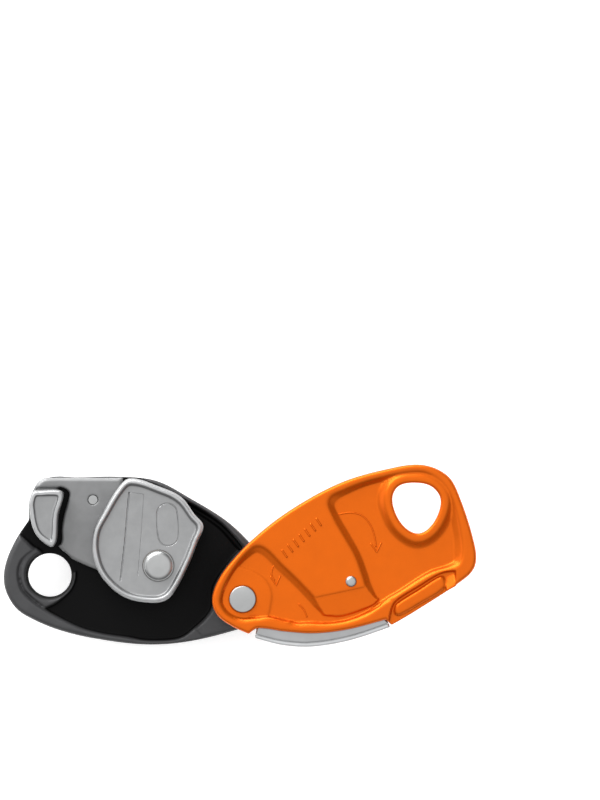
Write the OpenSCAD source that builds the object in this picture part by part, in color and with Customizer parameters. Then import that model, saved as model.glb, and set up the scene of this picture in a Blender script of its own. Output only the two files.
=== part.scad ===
// Assisted-braking belay device, lying flat on its back with the rope side plate swung open.
// Millimetres. +Z points away from the handle side. The origin is the centre of the fixed
// side plate's attachment hole, at that plate's back face. Outlines are drawn from the pivot
// of the two side plates.

/* [Side plates] */
// Thickness of the fixed side plate's floor
fixed_floor = 2.6; // [2.4:0.1:2.8]
// Height of the fixed side plate's raised rim above its floor
fixed_rim = 2.2; // [2:0.1:2.4]
// Clear height for the rope between the two side plates
rope_gap = 13.4; // [13.3:0.1:14]
// Thickness of the swinging side plate where it is pressed thin
swing_floor = 2.4; // [2.2:0.1:2.6]
// Height of the swinging side plate's rim and plateau above its thin areas
swing_relief = 2; // [1.8:0.1:2.2]
// Radius of the attachment hole in the fixed side plate
hole_r = 7.1; // [6.9:0.05:7.3]
// Radius that the rope guide leaves clear around the attachment hole
hole_clear_r = 9; // [8.8:0.1:9.4]
// Thickness of the steel friction plate's sheet
sheet_t = 1; // [0.8:0.1:1.1]

/* [Pivot] */
// Radius of the pivot rivet's shank
rivet_r = 3; // [2.8:0.1:3.2]
// Radius of the pivot rivet's front head
rivet_head_r = 4.4; // [4.3:0.05:4.6]
// Height of the pivot rivet's front head
rivet_head_h = 1.6; // [1.4:0.1:1.8]
// Outer radius of the bush that the swinging side plate turns on
pivot_bush_r = 4.2; // [3.9:0.1:4.2]
// Gap between the brake block and the swinging side plate, which a washer fills
block_gap = 0.6; // [0.5:0.05:0.7]

/* [Cam] */
// Thickness of the cam, rim included
cam_t = 10.2; // [10:0.1:10.3]
// Thickness of each flange of the cam's rope groove
cam_flange = 1.2; // [1:0.1:1.4]
// Depth of the cam's rope groove
cam_groove = 1.2; // [0.8:0.1:1.3]
// Depth of the sunk face inside the cam's rim
cam_face_sink = 1.7; // [1.5:0.1:1.9]
// Radius of the axle that the cam and the handle turn on
axle_r = 3.8; // [3.6:0.1:3.9]
// Radius of the axle's front head
axle_head_r = 4.75; // [4.6:0.05:4.8]
// Outer radius of the cam's bush
cam_bush_r = 5; // [4.9:0.05:5.1]

/* [Handle] */
// Depth of the handle and of the back cover, from the plate to the face that it lies on
back_depth = 9; // [8.8:0.1:9.4]
// Radius of the handle's hub
hub_r = 12.5; // [12.2:0.1:12.6]
// How far the handle turns
handle_turn = 80; // [70:1:80]
// Thickness of the handle's steel core
core_t = 2.2; // [2:0.1:2.3]
// Distance of the drive pin from the axle
drive_r = 10.3; // [10.2:0.05:10.4]
// Radius of the drive pin and of the stop pin
drive_pin_r = 1.2; // [1.1:0.05:1.25]

/* [Mode knob] */
// Radius of the mode knob
knob_r = 5.2; // [5:0.1:5.3]
// Radius of the mode knob's shaft
knob_shaft_r = 2.5; // [2.3:0.1:2.6]

/* [Hidden] */

$fn = 64;
eps = 0.01;
run_gap = 0.05;          // radial clearance of a turning fit
face_gap = 0.1;          // axial clearance of a turning fit
far = 60;                // longer than the device is tall
near = 1;                // how far a cutter starts outside the face that it cuts

// Places, from the attachment hole and from the pivot
pivot = [64.4, -7.9];
axle_at = [-28.1, 11.1];
friction_rivet_at = [36.1, 5.9];
knob_at = [-11.6, -5.2];

// Levels, from the fixed side plate's back face
rim_z = fixed_floor + fixed_rim;
land_z = rim_z - 0.5;
guide_z = fixed_floor + 1.8;
swing_z = fixed_floor + rope_gap;
swing_floor_z = swing_z + swing_floor;
swing_top_z = swing_floor_z + swing_relief;
block_z = swing_z - block_gap;
cam_z = guide_z + 0.4;
cam_top_z = cam_z + cam_t;
cam_face_z = cam_top_z - cam_face_sink;
post_z = swing_z - 0.5;

// Outlines, as points on a smooth closed curve. A third value of 1 makes a point a corner.
fixed_outline = [[-79.8, 7.5], [-78.9, 2], [-75.4, -3.5], [-70, -6.9], [-61.5, -10.4],
                 [-50.5, -13.1], [-33, -15.3], [-18, -14.3], [0, -9.8], [7.5, -6.5], [10.5, 2],
                 [8.5, 10.8],
                 [2.2, 18.8], [-5.6, 26.1], [-17, 33.2], [-29, 39.4], [-42, 40.7],
                 [-55, 40.5], [-64.5, 40.5], [-69, 37.4], [-71.2, 31], [-71.4, 26.2, 1],
                 [-75.4, 20.3], [-78.6, 13.5]];
fixed_recess = [[-74.9, 21.5, 1], [-69.4, 16.4, 1], [-73.9, 12.5], [-75, 7.6], [-73.2, 2],
                [-66.6, -3.4], [-55.4, -9.4], [-47.7, -11.7], [-37.7, -13.2], [-33, -14.1],
                [-25.2, -14.1], [-20.6, -13.2], [-17.2, -11], [-10.4, -3.9], [-9.4, 4],
                [-3.5, 13], [0.4, 17, 1], [-7, 25.4], [-15.4, 31],
                [-27.2, 37], [-38, 42, 1], [-42, 60, 1], [-90, 60, 1]];
hole_land = [[-69, 16.9, 1], [-72.9, 13.5], [-74.4, 8.6], [-73.1, 3.3], [-70.7, 0.8],
             [-68.2, -1.4], [-65.9, -3.1, 1], [-63.2, -1.9], [-60.5, 0], [-57.4, 3.1],
             [-56, 6.4], [-55.9, 9, 1], [-63, 9], [-66.5, 15, 1]];
guide_outline = [[-71.4, 27.4, 1], [-71.3, 32.5], [-69.5, 37.2], [-67.1, 39.9],
                 [-63.8, 40.4], [-53.3, 40.4], [-40, 40.4, 1], [-40, 20],
                 [-47, 9, 1], [-57.5, 13.6], [-63.5, 19.5],
                 [-69.3, 24, 1]];
post_outline = [[-70.6, 34.2], [-69.6, 35.7], [-68.4, 35.9], [-61, 36], [-59.9, 33.9],
                [-61.6, 28], [-62.2, 19.2],
                [-64, 17.4], [-69.3, 22.2], [-71.1, 31]];
guide_moat = [[-61, 36.3], [-59.2, 36.5], [-57.9, 35.2], [-58.4, 32.3], [-59.8, 27.6],
              [-60.5, 22.9], [-60.5, 19.4], [-61.7, 17.5], [-63, 18.4], [-64, 28], [-62, 34]];
block_outline = [[-9.6, -3], [-9.6, 1.5], [-6.9, 7.2], [-2, 13.3], [1.6, 16.8], [5, 14.2],
                 [8.6, 7], [9.4, 0], [7, -5.8], [0.8, -8.6], [-5.5, -7.6]];
cam_outline = [[-37.6, 40.2], [-41.8, 36.7], [-46.6, 28.8], [-49.8, 22.4], [-50, 15],
               [-47, 7.2], [-39.7, 0.7], [-31.1, -1.3], [-25.2, -0.3], [-21.6, 4.2],
               [-17.6, 12.2], [-15, 18.9], [-13.1, 24.3], [-16, 28.1], [-20.5, 33.9],
               [-27.5, 37.3]];
swing_outline = [[-10.2, -0.8], [-8.3, -5.5], [-3.4, -9.1], [2.1, -11.6, 1], [5, -9.7],
                 [14, -10.8], [24, -11.4], [35.1, -10.1], [47.6, -6.8, 1], [49.6, -8.6, 1],
                 [57, -4.3], [74.2, 7], [77.5, 11.4], [77.3, 18], [72.4, 33.8],
                 [68.2, 41.2], [59.5, 44.8], [47.4, 43.2], [32.8, 38.9], [17.9, 31],
                 [5.5, 21.9], [-4.5, 11.7], [-8.8, 5]];
pivot_pocket = [[-7.6, 0.2], [-5.9, -4.4], [-1.6, -7], [4, -6.9], [8.5, -6.4], [15, -7.9],
                [23, -8.6], [28.5, -7.4], [25.6, -1.6], [19.4, 5.4], [13.3, 11.3],
                [7.2, 17.2], [3.4, 17.4], [-3.6, 9.4]];
channel = [[15, -3.4], [28.3, -5.4], [32.6, -5.6], [38.2, -3.9], [43.4, -1.6], [47, 1.4],
           [49.2, 0.6], [47.4, -1], [41.6, -5], [35.3, -7.5], [28.9, -8.6], [23, -8.6],
           [15, -7.9]];
end_facet = [[22, -0.4, 1], [25.9, 0.7, 1], [39.1, 3.6, 1], [46, 5, 1], [47.5, 0.5],
             [44.5, -3], [38.6, -5.6], [32.6, -7], [28.3, -7.2], [22, -6.8, 1]];
hand_pocket = [[28.6, 33.2], [29.9, 27.9], [34.1, 20.4], [37.4, 14.6], [39.9, 7.9],
               [41.8, 2.4], [45.2, -1], [50, 0.8], [62.4, 8.4], [71.4, 11.4], [73, 15],
               [72.6, 22], [69.6, 34], [65, 40], [58.5, 42.6], [43, 39.8], [33.6, 36.4]];
swing_hole = [[49.9, 33.7], [52, 37.6], [57.2, 38.7], [62.8, 37.5], [65.8, 33.5],
              [64.8, 27.8], [61.5, 23.2], [58, 21.9], [54.2, 23.8], [51.2, 28]];
sheet_outline = [[4.1, -13, 1], [13, -15.3], [23, -15.9], [36, -13.7], [49.2, -9.3, 1],
                 [47.9, -6.7, 1], [45.5, -2], [40.5, 8], [36.2, 10.4], [32, 8], [24, 1],
                 [12, 4.5], [4, 8.4], [-4.5, 7.4], [-8.2, 0.5], [-5.6, -5.5], [1, -9, 1],
                 [4.6, -9.8, 1]];
hem_outline = [[4.1, -13, 1], [13, -15.3], [23, -15.9], [36, -13.7], [49.2, -9.3, 1],
               [48.6, -7.9, 1], [36, -12.1], [23, -14.3], [13, -13.7], [4.3, -11.5, 1]];
lever_outline = [[-24, 2, 1], [-14.5, 7.2], [-6, 8], [2, 6.9], [8.5, 6.2], [13.3, 8.4],
                 [12.3, 12.4], [4, 16.4], [-5.4, 24.9], [-15.5, 31.2], [-22, 34.2],
                 [-27, 32], [-33, 22, 1]];
core_outline = [[-24, 4], [-15.5, 9.6], [-6, 10.6], [1, 10.4], [2.5, 13], [-4, 18.4],
                [-13, 25.4], [-22, 28.6], [-29, 22]];
cover_outline = [[-51, -3.2], [-48.5, -9.2], [-33, -13.3], [-17, -12.4], [0, -9.2],
                 [6.8, -6.2], [8.6, 0.8], [2.5, 5.4], [-6.5, 5.4], [-12.5, 4.8], [-16, 3],
                 [-46, 3.4]];
screw_places = [[-45.5, -5.4], [-23.6, -8.4], [4.5, -4.6]];
guide_rivet_places = [[-66, 30], [-50, 33]];
lever_rivet_places = [[-13, 19.6], [-5, 14.7]];

// Turning angles about the axle
stop_angle = 97;
drive_angle = 115;
cam_turn = 36;
pin_half_angle = asin(drive_pin_r / drive_r);
slot_clear = 0.2;
slot_spare = 1.5;        // turn left over at each end of a curved slot

function flat_point(p) = [p[0], p[1]];
function corner(p) = len(p) > 2;
function along(from, to) = (to - from) / norm(to - from);
function heading(points, i) =
    let (n = len(points))
    corner(points[i]) ? [0, 0]
                      : along(flat_point(points[(i + n - 1) % n]), flat_point(points[(i + 1) % n]));
function blend_point(a, b, out_way, in_way, t) =
    (2 * pow(t, 3) - 3 * pow(t, 2) + 1) * a + (pow(t, 3) - 2 * pow(t, 2) + t) * norm(b - a) * out_way
    + (3 * pow(t, 2) - 2 * pow(t, 3)) * b + (pow(t, 3) - pow(t, 2)) * norm(b - a) * in_way;
function smooth_curve(points, steps = 6) =
    [for (i = [0 : len(points) - 1], k = [0 : steps - 1])
        let (n = len(points), j = (i + 1) % n)
        blend_point(flat_point(points[i]), flat_point(points[j]),
                    heading(points, i), heading(points, j), k / steps)];

module shape(points) polygon(smooth_curve(points));

// Draws its children at the pivot, raised to a level
module from_pivot(z = 0) translate([pivot.x, pivot.y, z]) children();

// Draws its children at the axle, raised to a level
module from_axle(z = 0) from_pivot(z) translate([axle_at.x, axle_at.y, 0]) children();

module plate(points, z, height) from_pivot(z) linear_extrude(height) shape(points);

module post(place, r, z, height)
    from_pivot(z) translate([place.x, place.y, 0]) cylinder(r = r, h = height);

module ring(outer, inner, height) difference() {
    cylinder(r = outer, h = height);
    translate([0, 0, -eps]) cylinder(r = inner, h = height + 2 * eps);
}

// Curved groove about the local Z axis, with a flat bottom
module arc_groove(r, half_w, from, to, height)
    rotate([0, 0, from]) rotate_extrude(angle = to - from)
        translate([r - half_w, 0]) square([2 * half_w, height]);

// Open coil of round wire, from z = 0 upwards
module coil(r, wire_r, height, turns) {
    sides = 8;
    steps = 20;
    rings = turns * steps;
    points = [for (k = [0 : rings], s = [0 : sides - 1])
        let (turn = 360 * k / steps, side = 360 * s / sides, reach = r + wire_r * cos(side))
        [reach * cos(turn), reach * sin(turn), height * k / rings + wire_r * sin(side)]];
    walls = [for (k = [0 : rings - 1], s = [0 : sides - 1])
        let (a = k * sides + s, b = k * sides + (s + 1) % sides)
        [a, b, b + sides, a + sides]];
    first = [for (s = [sides - 1 : -1 : 0]) s];
    last = [for (s = [0 : sides - 1]) rings * sides + s];
    polyhedron(points, concat(walls, [first], [last]));
}

// Forged aluminium plate that carries everything else. Its floor is pressed thin, but for a
// land beside the attachment hole.
screw_bite = 1.6;
module fixed_side_plate() color("#3b3c3e") difference() {
    plate(fixed_outline, 0, rim_z);
    difference() {
        plate(fixed_recess, fixed_floor, far);
        plate(hole_land, 0, land_z);
    }
    translate([0, 0, -near]) cylinder(r = hole_r, h = far);
    from_axle(-near) cylinder(r = axle_r, h = far);
    from_pivot(-near) cylinder(r = rivet_r, h = far);
    from_axle(-near)
        arc_groove(drive_r, drive_pin_r + slot_clear, drive_angle - pin_half_angle - slot_spare,
                   drive_angle + handle_turn + pin_half_angle + slot_spare, far);
    from_axle(-near) rotate([0, 0, stop_angle]) translate([drive_r, 0, 0])
        cylinder(r = drive_pin_r, h = far);
    for (place = screw_places) post(place, screw_r, -near, near + screw_bite);
    for (place = guide_rivet_places) post(place, guide_rivet_r, -near, far);
}

// Cast steel floor that the climber's strand runs over, with a slot beside the post
guide_rivet_r = 1.5;
module rope_guide() color("#9c9d9f") difference() {
    plate(guide_outline, fixed_floor, guide_z - fixed_floor);
    plate(guide_moat, 0, far);
    plate(hole_land, 0, land_z);
    cylinder(r = hole_clear_r, h = far);
    for (place = guide_rivet_places) post(place, guide_rivet_r, 0, far);
}

// Cast steel post that keeps the rope clear of the attachment hole
post_rim = 1.1;
post_face_sink = 0.9;
module guide_post() color("#a4a5a7") difference() {
    plate(post_outline, guide_z, post_z - guide_z);
    from_pivot(post_z - post_face_sink) linear_extrude(far)
        offset(delta = -post_rim) shape(post_outline);
}

module guide_rivets() color("#b9babc")
    for (place = guide_rivet_places) post(place, guide_rivet_r, 0, guide_z);

// Cast steel jaw beside the pivot, which the cam presses the rope against
module brake_block() color("#6f7072") difference() {
    plate(block_outline, rim_z, block_z - rim_z);
    from_pivot() cylinder(r = rivet_r, h = far);
}

// Cast steel cam with a groove for the rope round its edge. Behind, a round pocket clears its
// spring, and a curved slot clears the stop pin and the drive pin.
cam_rim = 1.5;
cam_web = 1;
cam_spring_r = 6.3;
cam_spring_pocket_w = 1.1;
cam_spring_pocket_h = 3.6;
cam_slot_h = 2.4;
module cam() color("#a6a7a9") difference() {
    plate(cam_outline, cam_z, cam_t);
    from_pivot(cam_z + cam_flange)
        linear_extrude(cam_t - cam_flange - cam_face_sink - cam_web) difference() {
            offset(delta = near) shape(cam_outline);
            offset(delta = -cam_groove) shape(cam_outline);
        }
    from_pivot(cam_face_z) linear_extrude(far) offset(delta = -cam_rim) shape(cam_outline);
    from_axle() cylinder(r = cam_bush_r, h = far);
    from_axle(cam_z - near)
        ring(cam_spring_r + cam_spring_pocket_w, cam_bush_r - eps, near + cam_spring_pocket_h);
    from_axle(cam_z - near)
        arc_groove(drive_r, drive_pin_r + slot_clear, stop_angle - pin_half_angle - slot_spare,
                   drive_angle + handle_turn + pin_half_angle + cam_turn + slot_spare,
                   near + cam_slot_h);
}

module cam_bush() color("#b08d57") from_axle(fixed_floor + face_gap)
    ring(cam_bush_r, axle_r + run_gap, cam_face_z - fixed_floor - face_gap);

// Steel axle, headed over at the front and held by the retainer at the back
axle_washer_t = 0.5;
axle_head_h = 1.6;
axle_head_z = cam_face_z + face_gap + axle_washer_t;
axle_end_z = 0.2 - back_depth;
module cam_axle() color("#b5b6b8") {
    from_axle(axle_end_z) cylinder(r = axle_r, h = axle_head_z - axle_end_z + eps);
    from_axle(axle_head_z) cylinder(r = axle_head_r, h = axle_head_h);
}

module cam_washer() color("#c4c5c7") from_axle(cam_face_z + face_gap)
    ring(axle_head_r + 0.3, axle_r, axle_washer_t);

cam_spring_wire_r = 0.5;
module cam_spring() color("#8c8d90") from_axle(fixed_floor + 0.7)
    coil(cam_spring_r, cam_spring_wire_r, 4, 3);

// Pins driven into the fixed side plate and into the handle's core, which reach into the cam
pin_reach = 1.8;
module stop_pin() color("#8c8d90") from_axle() rotate([0, 0, stop_angle])
    translate([drive_r, 0, 0]) cylinder(r = drive_pin_r, h = cam_z + pin_reach);

// Forged aluminium plate that swings over the rope
collar_w = 3.2;
module swinging_side_plate() color("#e8690b") difference() {
    plate(swing_outline, swing_z, swing_top_z - swing_z);
    from_pivot(swing_floor_z) linear_extrude(far) {
        shape(pivot_pocket);
        difference() {
            shape(hand_pocket);
            offset(delta = collar_w) shape(swing_hole);
        }
        shape(channel);
    }
    plate(end_facet, swing_floor_z + swing_relief / 2, far);
    from_pivot(swing_z - near) linear_extrude(far) shape(swing_hole);
    plate(sheet_outline, swing_z - near, near + sheet_t);
    from_pivot(swing_z - near) cylinder(r = pivot_bush_r + run_gap, h = far);
    post(friction_rivet_at, friction_rivet_r, 0, far);
}

// Stainless sheet under the swinging plate, with a thick hem along the edge the rope runs over
friction_rivet_r = 1.2;
hem_drop = 0.3;
hem_t = 2.7;
module friction_plate() color("#c3c6c8") difference() {
    union() {
        plate(sheet_outline, swing_z, sheet_t);
        plate(hem_outline, swing_z - hem_drop, hem_t);
    }
    from_pivot(swing_z - near) cylinder(r = pivot_bush_r + run_gap, h = far);
    post(friction_rivet_at, friction_rivet_r, 0, far);
}

friction_head_r = 1.85;
friction_head_h = 0.8;
module friction_rivet() color("#cfd2d4") {
    post(friction_rivet_at, friction_rivet_r, swing_z, swing_top_z - swing_z + eps);
    post(friction_rivet_at, friction_head_r, swing_top_z, friction_head_h);
}

// Steel rivet that holds the two side plates together
rivet_back_h = 1.4;
module pivot_rivet() color("#b8bbbd") {
    from_pivot(-rivet_back_h) cylinder(r = pivot_bush_r, h = rivet_back_h);
    from_pivot(-eps) cylinder(r = rivet_r, h = swing_floor_z + run_gap + 2 * eps);
    from_pivot(swing_floor_z + run_gap) cylinder(r = rivet_head_r, h = rivet_head_h);
}

module pivot_bush() color("#b08d57") from_pivot(block_z)
    ring(pivot_bush_r, rivet_r, swing_floor_z + run_gap - block_z);

pivot_washer_r = 7.4;
module pivot_washer() color("#e4e2da") from_pivot(block_z)
    ring(pivot_washer_r, pivot_bush_r, block_gap - run_gap);

// Moulded nylon handle with a steel core, turning on the axle behind the fixed side plate
hub_gap = 0.5;
core_gap = 0.4;
core_margin = 0.1;
core_z = -core_gap - core_t;
core_hub_r = hub_r - 1;
handle_spring_r = 7.5;
handle_spring_wire_r = 0.55;
handle_spring_pocket_w = 1.3;
spring_floor_z = 2.4 - back_depth;
retainer_r = 6.3;
retainer_t = 1;
lever_rivet_r = 1.4;
module handle_profile() {
    translate(axle_at) circle(r = hub_r);
    shape(lever_outline);
}
module core_profile(grow = 0) {
    translate(axle_at) circle(r = core_hub_r + grow);
    offset(delta = grow) shape(core_outline);
}
module lever_rivet_holes()
    for (place = lever_rivet_places) post(place, lever_rivet_r, -far, 2 * far);

module handle_lever() color("#2a2b2d") difference() {
    from_pivot(-back_depth) linear_extrude(back_depth - hub_gap) handle_profile();
    from_pivot(core_z - core_margin) linear_extrude(far) core_profile(core_margin);
    from_axle(spring_floor_z)
        ring(handle_spring_r + handle_spring_pocket_w, handle_spring_r - handle_spring_pocket_w, far);
    from_axle(-back_depth - near) cylinder(r = axle_r + run_gap, h = far);
    from_axle(-back_depth - near) cylinder(r = retainer_r + 2 * face_gap, h = near + retainer_t + 0.3);
    lever_rivet_holes();
}

module handle_core() color("#8f9093") difference() {
    from_pivot(core_z) linear_extrude(core_t) core_profile();
    from_axle(-far) cylinder(r = axle_r + run_gap, h = 2 * far);
    from_axle(-far) rotate([0, 0, drive_angle]) translate([drive_r, 0, 0])
        cylinder(r = drive_pin_r, h = 2 * far);
    lever_rivet_holes();
}

lever_rivet_z = 0.3 - back_depth;
module handle_rivets() color("#8f9093") for (place = lever_rivet_places)
    post(place, lever_rivet_r, lever_rivet_z, -core_gap - lever_rivet_z);

module drive_pin() color("#8c8d90") from_axle(core_z) rotate([0, 0, drive_angle])
    translate([drive_r, 0, 0]) cylinder(r = drive_pin_r, h = cam_z + pin_reach - core_z);

module handle_spring() color("#8c8d90") from_axle(spring_floor_z + 0.8)
    coil(handle_spring_r, handle_spring_wire_r, 2.4, 2);

module axle_retainer() color("#9a9b9e") from_axle(axle_end_z) ring(retainer_r, axle_r, retainer_t);

// Moulded nylon cover that holds the mode knob and closes the back
cover_wall = 1.6;
cover_gap = 0.8;
knob_well_z = 3.1 - back_depth;
knob_well_h = 3.7;
screw_r = 1.25;
screw_head_r = 2.3;
screw_seat_z = 1.6 - back_depth;
detent_r = 1;
detent_at = knob_at + [0, 3.9];
detent_depth = 3.4;
module cover_profile() difference() {
    shape(cover_outline);
    translate(axle_at) circle(r = hub_r + cover_gap);
    offset(delta = cover_gap) shape(lever_outline);
}
module back_cover() color("#303134") difference() {
    from_pivot(-back_depth) linear_extrude(back_depth) cover_profile();
    difference() {
        from_pivot(-back_depth + cover_wall) linear_extrude(far)
            offset(delta = -cover_wall) cover_profile();
        for (place = screw_places) post(place, screw_head_r + cover_gap, -back_depth, back_depth);
        post(knob_at, knob_r + cover_wall, -back_depth, knob_well_z + knob_well_h + back_depth);
    }
    for (place = screw_places) {
        post(place, screw_r, -far, far);
        post(place, screw_head_r, -back_depth - near, screw_seat_z + back_depth + near);
    }
    post(knob_at, knob_r + 2 * face_gap, -back_depth - near, knob_well_z + back_depth + near);
    post(knob_at, knob_shaft_r + run_gap, -far, far);
    post(detent_at, detent_r, knob_well_z - eps, detent_depth);
    from_pivot(-rivet_back_h - hub_gap) cylinder(r = pivot_bush_r + hub_gap, h = far);
}

// Screws into the fixed side plate, with a round recess in each head
screw_head_z = 0.2 - back_depth;
screw_end_z = screw_bite - 0.2;
screw_recess_r = 0.9;
screw_recess_h = 0.8;
module cover_screws() color("#7d7e81") for (place = screw_places) {
    post(place, screw_r, screw_head_z + screw_recess_h, screw_end_z - screw_head_z - screw_recess_h);
    difference() {
        post(place, screw_head_r, screw_head_z, screw_seat_z - screw_head_z - face_gap);
        post(place, screw_recess_r, screw_head_z - near, near + screw_recess_h);
    }
}

// Two-position knob that sets how firmly the cam is held open. A peg beside its axis ends it.
knob_face_z = 0.2 - back_depth;
knob_rim = 0.9;
knob_grip_w = 2.2;
knob_grip_h = 1.2;
knob_shaft_top_z = -1.9;
knob_peg_r = 1.7;
knob_peg_at = knob_at + [0.6, 0];
knob_peg_top_z = -0.6;
module mode_knob() color("#d5d6d8") {
    difference() {
        post(knob_at, knob_r, knob_face_z, knob_well_z - knob_face_z - face_gap);
        from_pivot(knob_face_z - eps) translate([knob_at.x, knob_at.y, 0])
            linear_extrude(knob_grip_h) difference() {
                circle(r = knob_r - knob_rim);
                square([2 * knob_r, knob_grip_w], center = true);
            }
    }
    post(knob_at, knob_shaft_r, knob_well_z - near, knob_shaft_top_z - knob_well_z + near);
    post(knob_peg_at, knob_peg_r, knob_shaft_top_z - eps, knob_peg_top_z - knob_shaft_top_z + eps);
}

// Ball and spring that click the knob into either position
ball_gap = 0.05;
detent_wire_r = 0.15;
module detent_ball() color("#c9cacc") from_pivot(knob_well_z + detent_r + ball_gap)
    translate([detent_at.x, detent_at.y, 0]) sphere(r = detent_r - 0.02);

module detent_spring() color("#8c8d90")
    from_pivot(knob_well_z + 2 * detent_r + ball_gap + detent_wire_r + ball_gap)
    translate([detent_at.x, detent_at.y, 0]) coil(0.65, detent_wire_r, 0.8, 2);

fixed_side_plate();
rope_guide();
guide_post();
guide_rivets();
brake_block();
cam();
cam_bush();
cam_axle();
cam_washer();
cam_spring();
stop_pin();
swinging_side_plate();
friction_plate();
friction_rivet();
pivot_rivet();
pivot_bush();
pivot_washer();
handle_lever();
handle_core();
handle_rivets();
drive_pin();
handle_spring();
axle_retainer();
back_cover();
cover_screws();
mode_knob();
detent_ball();
detent_spring();
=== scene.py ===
import math

import bmesh
import bpy
from mathutils import Matrix, Vector


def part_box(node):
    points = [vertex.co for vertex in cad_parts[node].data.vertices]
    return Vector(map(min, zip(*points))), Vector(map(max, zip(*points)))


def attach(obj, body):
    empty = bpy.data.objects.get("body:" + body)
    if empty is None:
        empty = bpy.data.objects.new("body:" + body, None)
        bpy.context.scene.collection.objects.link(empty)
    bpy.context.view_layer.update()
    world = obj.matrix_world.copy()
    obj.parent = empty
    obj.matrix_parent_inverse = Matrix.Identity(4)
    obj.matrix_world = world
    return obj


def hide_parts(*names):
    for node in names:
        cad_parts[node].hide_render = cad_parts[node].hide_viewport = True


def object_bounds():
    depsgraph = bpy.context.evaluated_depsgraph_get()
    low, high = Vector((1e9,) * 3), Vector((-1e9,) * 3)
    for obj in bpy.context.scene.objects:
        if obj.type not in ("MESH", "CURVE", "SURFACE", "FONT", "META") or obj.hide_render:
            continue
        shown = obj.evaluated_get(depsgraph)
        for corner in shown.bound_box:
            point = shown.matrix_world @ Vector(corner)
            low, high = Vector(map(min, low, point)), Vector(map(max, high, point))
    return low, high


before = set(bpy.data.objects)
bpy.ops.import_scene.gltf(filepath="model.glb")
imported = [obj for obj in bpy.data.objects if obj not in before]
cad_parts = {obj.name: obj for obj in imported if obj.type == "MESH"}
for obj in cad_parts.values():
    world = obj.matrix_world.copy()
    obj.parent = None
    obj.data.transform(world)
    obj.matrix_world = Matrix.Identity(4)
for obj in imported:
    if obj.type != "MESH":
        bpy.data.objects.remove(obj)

cad_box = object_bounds()


# ---- Floor, light and camera -----------------------------------------------------------------
# The device lies on its back on a plain white table. Two wide soft boxes beyond its far left
# corner, a weak one on its left and a pale ceiling light it, and the camera looks straight down.
MM = 0.001
table_half = 1.5
table_drop = 0.15 * MM
table_white = (0.93, 0.93, 0.93, 1)
middle = (0.06, 0.01, 0.0)

scene = bpy.context.scene
scene.view_settings.view_transform = "Standard"


def wired(nodes, kind, **settings):
    """A shader node with its plain sockets and properties set."""
    made = nodes.new(kind)
    for key, value in settings.items():
        if key in made.inputs:
            made.inputs[key].default_value = value
        else:
            setattr(made, key, value)
    return made


def table_top():
    floor = bmesh.new()
    bmesh.ops.create_grid(floor, x_segments=2, y_segments=2, size=table_half)
    bmesh.ops.translate(floor, verts=floor.verts,
                        vec=(middle[0], 0.0, cad_box[0][2] - table_drop))
    mesh = bpy.data.meshes.new("table_top")
    floor.to_mesh(mesh)
    floor.free()
    top = bpy.data.objects.new("table_top", mesh)
    scene.collection.objects.link(top)
    paint = bpy.data.materials.new("white_table")
    paint.use_nodes = True
    nodes = paint.node_tree.nodes
    shader = nodes["Principled BSDF"]
    shader.inputs["Base Color"].default_value = table_white
    shader.inputs["Roughness"].default_value = 0.9
    shader.inputs["Specular IOR Level"].default_value = 0.1
    shader.inputs["Emission Color"].default_value = (1, 1, 1, 1)
    shader.inputs["Emission Strength"].default_value = 0.45
    mesh.materials.append(paint)


table_top()

sky = bpy.data.worlds.new("soft_room")
sky.use_nodes = True
sky_nodes, sky_links = sky.node_tree.nodes, sky.node_tree.links
look = sky_nodes.new("ShaderNodeTexCoord")
split = sky_nodes.new("ShaderNodeSeparateXYZ")
overhead = wired(sky_nodes, "ShaderNodeMapRange", interpolation_type="SMOOTHSTEP")
for key, value in (("From Min", 0.2), ("From Max", 0.9), ("To Min", 0.16), ("To Max", 1.3)):
    overhead.inputs[key].default_value = value
sky_links.new(look.outputs["Generated"], split.inputs["Vector"])
sky_links.new(split.outputs["Z"], overhead.inputs["Value"])
sky_links.new(overhead.outputs["Result"], sky_nodes["Background"].inputs["Strength"])
sky_nodes["Background"].inputs["Color"].default_value = (1, 1, 1, 1)
scene.world = sky


def soft_box(name, place, size, power):
    """Rectangular light aimed at the middle of the device."""
    lamp = bpy.data.lights.new(name, "AREA")
    lamp.shape = "RECTANGLE"
    lamp.size, lamp.size_y = size
    lamp.energy = power
    holder = bpy.data.objects.new(name, lamp)
    scene.collection.objects.link(holder)
    holder.location = place
    holder.rotation_euler = (Vector(middle) - Vector(place)).to_track_quat("-Z", "Y").to_euler()


soft_box("far_soft_box", (-0.5, 0.8, 0.75), (0.8, 0.4), 9.0)
soft_box("low_soft_box", (-0.3, 0.95, 0.24), (1.2, 0.36), 12.0)
soft_box("left_soft_box", (-0.95, 0.1, 0.25), (0.9, 0.3), 2.0)

view_centre = Vector((0.0835, 0.0584))
view_distance = 6.0
view_height = 0.2667
focus_level = 0.01
sensor = 36
lens_camera = bpy.data.cameras.new("camera")
lens_camera.sensor_width = sensor
lens_camera.lens = sensor * view_distance / view_height
lens_camera.clip_start = 0.05
camera = bpy.data.objects.new("camera", lens_camera)
camera.location = (view_centre.x, view_centre.y, view_distance + focus_level)
scene.collection.objects.link(camera)
scene.camera = camera


# ---- Fixed side plate ------------------------------------------------------------------------
# Forged aluminium plate, anodised dark grey, that carries every other piece. Its floor is
# pressed thin inside a flat rim, and a low land stands beside the attachment hole, whose
# mouth is flared.
PIVOT = sum(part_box("pivot_rivet"), Vector()) / 2
CORNER = 1


def flat(point):
    return Vector(point[:2])


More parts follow.
